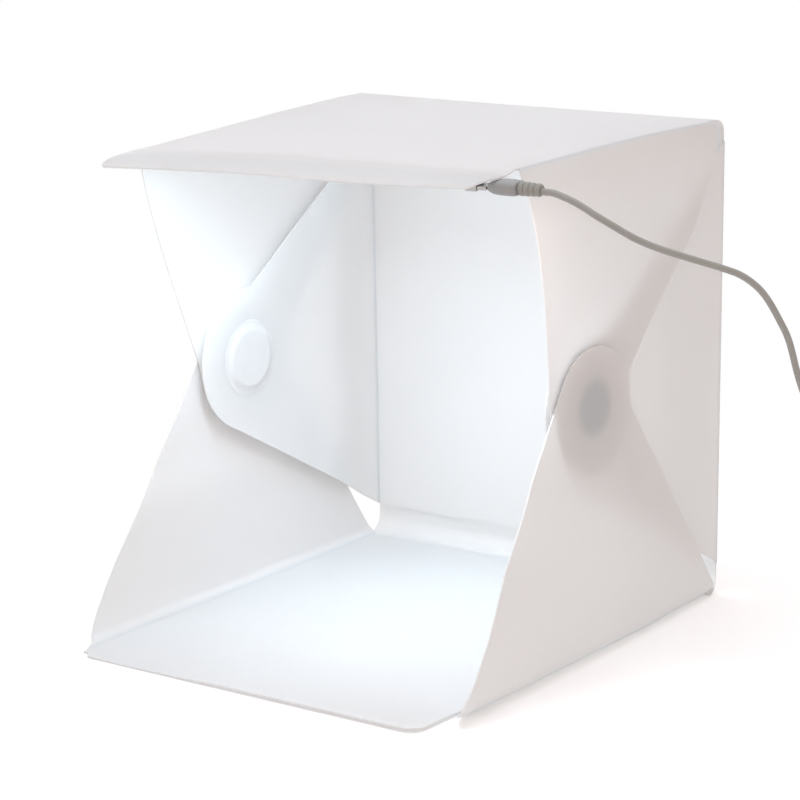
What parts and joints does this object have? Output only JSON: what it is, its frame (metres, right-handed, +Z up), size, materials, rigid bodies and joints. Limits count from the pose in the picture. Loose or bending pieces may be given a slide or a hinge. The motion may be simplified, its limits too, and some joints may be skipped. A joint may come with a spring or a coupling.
{
  "type": "light tent cube",
  "caption": "Folding light tent cube of white plastic sheet, open at the front, with side flaps held by magnets, a lamp strip under its front hood and a thin cable",
  "frame": {"origin": "centre of the tent's underside, without the cable", "axes": "+X to the right across the open front, +Y from the open front to the back, +Z up"},
  "size_m": [0.4046, 0.2445, 0.24],
  "materials": {
    "white_sheet": "translucent white sheet, satin",
    "patch_film": "thin white film",
    "magnet": "plated flat disc",
    "lamp_board": "white coated board",
    "foam_tape": "white foam",
    "lamp": "clear lens over a pale phosphor",
    "plated_steel": "nickel plated",
    "grey_moulding": "satin light grey",
    "beige_relief": "satin beige grey",
    "cord_jacket": "satin warm grey",
    "plug_tongue": "white"
  },
  "bodies": {
    "base": {"base_panel": "white_sheet"},
    "back": {"back_panel": "white_sheet", "cord": "cord_jacket", "cord_coil": "cord_jacket", "cord_tie": "beige_relief", "far_plug_strain_relief": "grey_moulding", "far_plug_body": "grey_moulding", "far_plug_shell": "plated_steel", "far_plug_tongue": "plug_tongue"},
    "top": {"top_panel": "white_sheet", "lamp_strip_tape": "foam_tape", "lamp_strip_board": "lamp_board", "lamp_01": "lamp", "lamp_02": "lamp", "lamp_03": "lamp", "lamp_04": "lamp", "lamp_05": "lamp", "lamp_06": "lamp", "lamp_07": "lamp", "lamp_08": "lamp", "lamp_09": "lamp", "lamp_10": "lamp", "lamp_11": "lamp", "lamp_12": "lamp", "lamp_13": "lamp", "lamp_14": "lamp", "lamp_15": "lamp", "lamp_16": "lamp", "lamp_17": "lamp", "lamp_18": "lamp", "lamp_19": "lamp", "lamp_20": "lamp", "power_socket": "plated_steel", "plug_shell": "plated_steel", "plug_body": "grey_moulding", "plug_strain_relief": "beige_relief"},
    "lower_flap_left": {"lower_flap_left": "white_sheet", "magnet_lower_left": "magnet", "magnet_patch_lower_left": "patch_film"},
    "lower_flap_right": {"lower_flap_right": "white_sheet", "magnet_lower_right": "magnet", "magnet_patch_lower_right": "patch_film"},
    "upper_flap_left": {"upper_flap_left": "white_sheet", "magnet_upper_left": "magnet", "magnet_patch_upper_left": "patch_film"},
    "upper_flap_right": {"upper_flap_right": "white_sheet", "magnet_upper_right": "magnet", "magnet_patch_upper_right": "patch_film"},
    "back_flap_left": {"back_flap_left": "white_sheet", "magnet_back_left": "magnet", "magnet_patch_back_left": "patch_film"},
    "back_flap_right": {"back_flap_right": "white_sheet", "magnet_back_right": "magnet", "magnet_patch_back_right": "patch_film"}
  },
  "joints": [
    {"name": "back_fold", "type": "hinge", "parent": "base", "child": "back", "pos_m": [0, 0.11932, 0.00293], "axis": [-1, 0, 0], "range_deg": [0, 90]},
    {"name": "top_fold", "type": "hinge", "parent": "back", "child": "top", "pos_m": [0, 0.11932, 0.23707], "axis": [-1, 0, 0], "range_deg": [0, 90]},
    {"name": "lower_flap_right_fold", "type": "hinge", "parent": "base", "child": "lower_flap_right", "pos_m": [0.1084, 0, 0], "axis": [0, 1, 0], "range_deg": [0, 84]},
    {"name": "upper_flap_right_fold", "type": "hinge", "parent": "top", "child": "upper_flap_right", "pos_m": [0.1084, 0, 0.24], "axis": [0, -1, 0], "range_deg": [0, 40]},
    {"name": "back_flap_right_fold", "type": "hinge", "parent": "back", "child": "back_flap_right", "pos_m": [0.1065, 0.12145, 0], "axis": [0, 0, -1], "range_deg": [0, 64]},
    {"name": "lower_flap_left_fold", "type": "hinge", "parent": "base", "child": "lower_flap_left", "pos_m": [-0.1084, 0, 0], "axis": [0, -1, 0], "range_deg": [0, 84]},
    {"name": "upper_flap_left_fold", "type": "hinge", "parent": "top", "child": "upper_flap_left", "pos_m": [-0.1084, 0, 0.24], "axis": [0, 1, 0], "range_deg": [0, 40]},
    {"name": "back_flap_left_fold", "type": "hinge", "parent": "back", "child": "back_flap_left", "pos_m": [-0.1065, 0.12145, 0], "axis": [0, 0, 1], "range_deg": [0, 80]}
  ],
  "couplings": [
    {"joint": "upper_flap_left_fold", "follows": "lower_flap_left_fold", "ratio": 0.45},
    {"joint": "upper_flap_right_fold", "follows": "lower_flap_right_fold", "ratio": 0.45}
  ]
}
